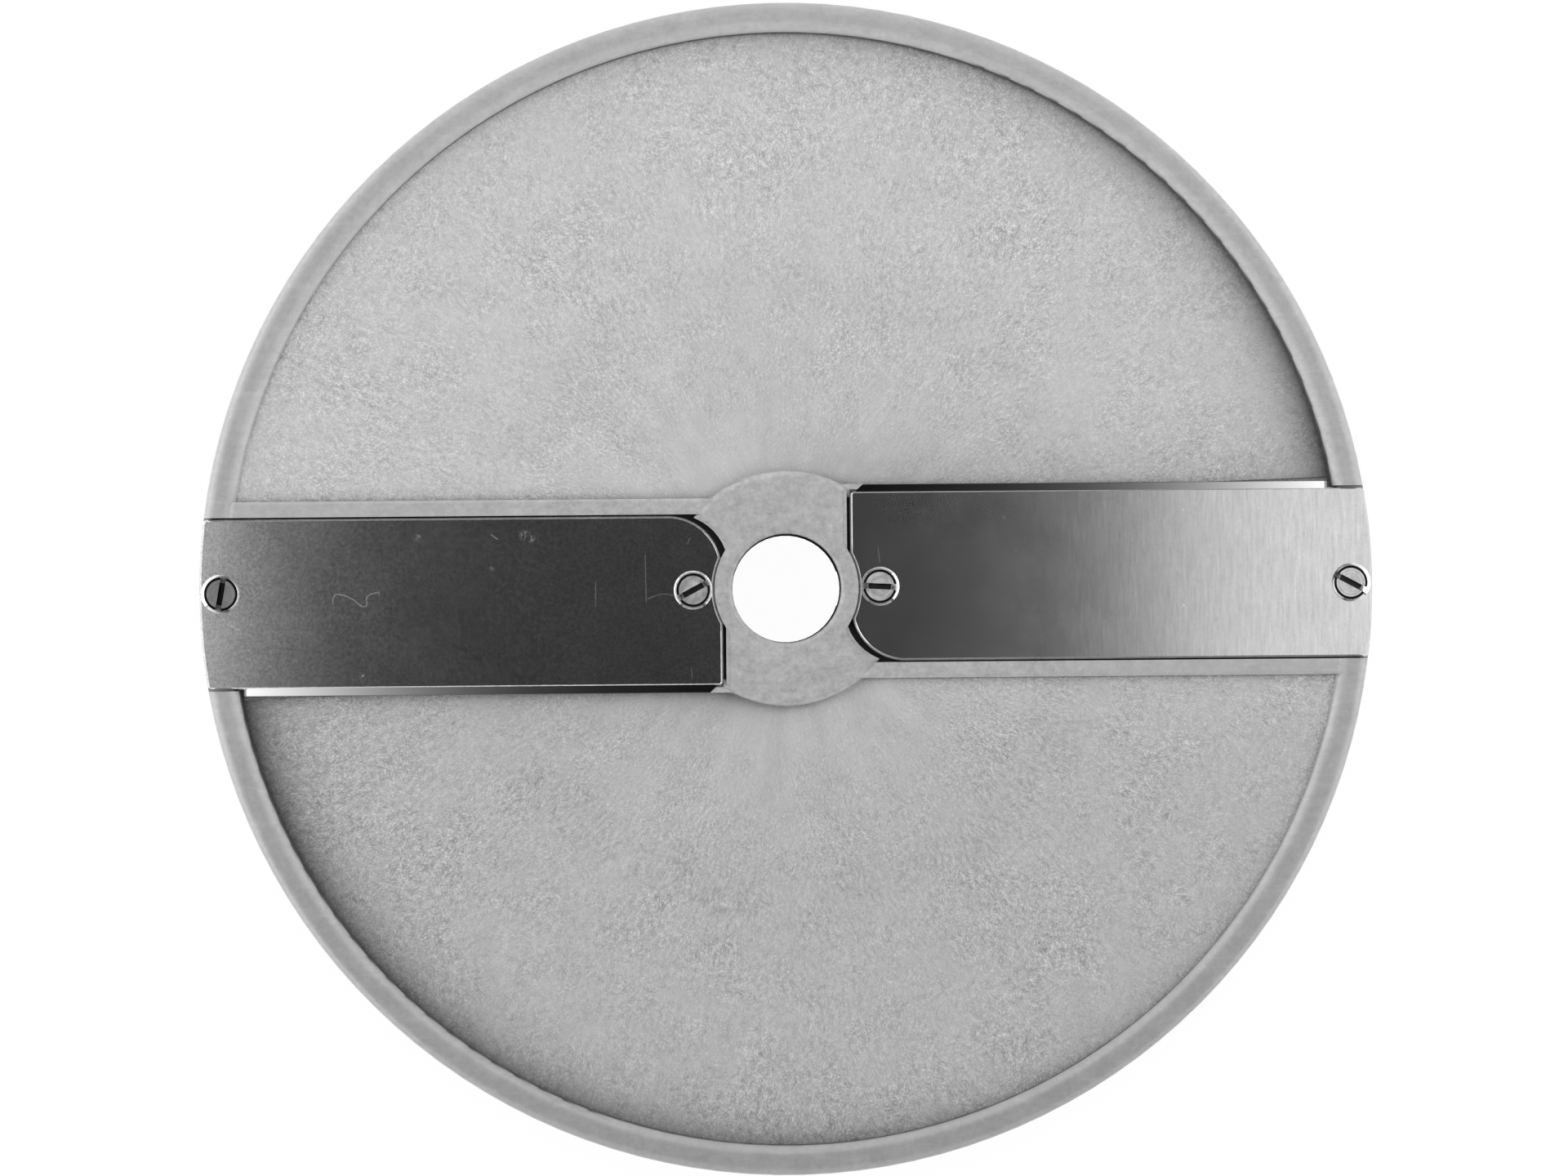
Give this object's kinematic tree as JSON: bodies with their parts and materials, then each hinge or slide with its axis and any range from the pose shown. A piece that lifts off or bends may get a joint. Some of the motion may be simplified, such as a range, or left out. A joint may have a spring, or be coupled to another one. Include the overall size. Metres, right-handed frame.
{
  "type": "slicing disc with two blades",
  "caption": "Round moulded slicing disc with sloping floors, a bored hub and flat steel blades held by countersunk screws.",
  "frame": {"origin": "on the bore's axis, in the plane of the boss's foot that the disc stands on", "axes": "+Z along the bore towards the cutting side, +X along the right blade, +Y from the right blade's back towards its cutting edge"},
  "size_m": [0.205, 0.205, 0.018],
  "materials": {
    "moulding": "glass-filled moulding, satin, with fibres showing in the floors",
    "blade_steel": "ground across the blade",
    "screw_steel": "turned",
    "insert_brass": "turned"
  },
  "bodies": {
    "root": {"disc_body": "moulding", "blade_right": "blade_steel", "blade_left": "blade_steel", "screw_right_inner": "screw_steel", "screw_right_outer": "screw_steel", "screw_left_inner": "screw_steel", "screw_left_outer": "screw_steel", "insert_right_inner": "insert_brass", "insert_right_outer": "insert_brass", "insert_left_inner": "insert_brass", "insert_left_outer": "insert_brass"}
  },
  "joints": []
}
